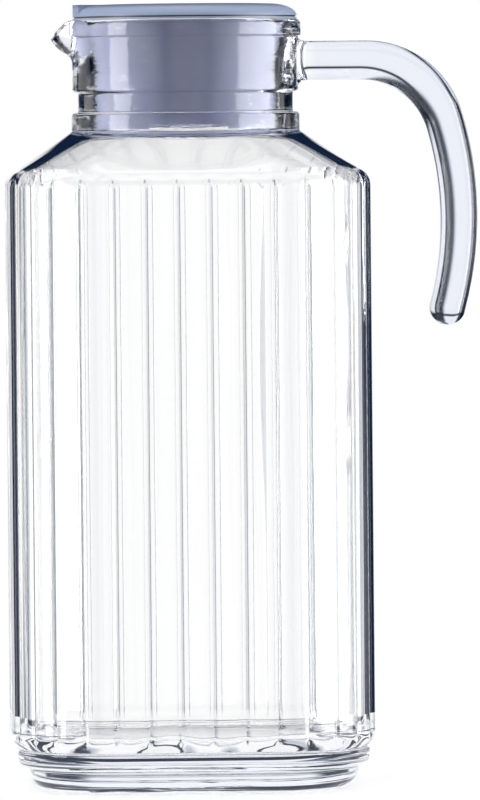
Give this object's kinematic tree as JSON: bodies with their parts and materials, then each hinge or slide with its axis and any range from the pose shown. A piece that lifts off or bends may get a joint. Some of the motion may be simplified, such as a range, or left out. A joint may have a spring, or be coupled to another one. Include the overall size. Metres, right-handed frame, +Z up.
{
  "type": "glass pitcher with lid",
  "caption": "Square fluted glass pitcher with a round neck, pouring beak and open hook handle, closed by a translucent plug lid that lifts out of the neck.",
  "frame": {"origin": "centre of the foot, on the surface the pitcher stands on", "axes": "+Z up along the neck's axis, +X towards the handle, -X towards the pouring beak"},
  "size_m": [0.1503, 0.115, 0.2485],
  "materials": {
    "clear_glass": "polished, fire-finished edges",
    "translucent_plastic": "satin, translucent lavender grey"
  },
  "bodies": {
    "jug": {"glass_jug": "clear_glass", "handle": "clear_glass"},
    "lid": {"lid": "translucent_plastic"}
  },
  "joints": [
    {"name": "lid_lift", "type": "slide", "parent": "jug", "child": "lid", "axis": [0, 0, 1], "range_m": [0, 0.1]}
  ]
}
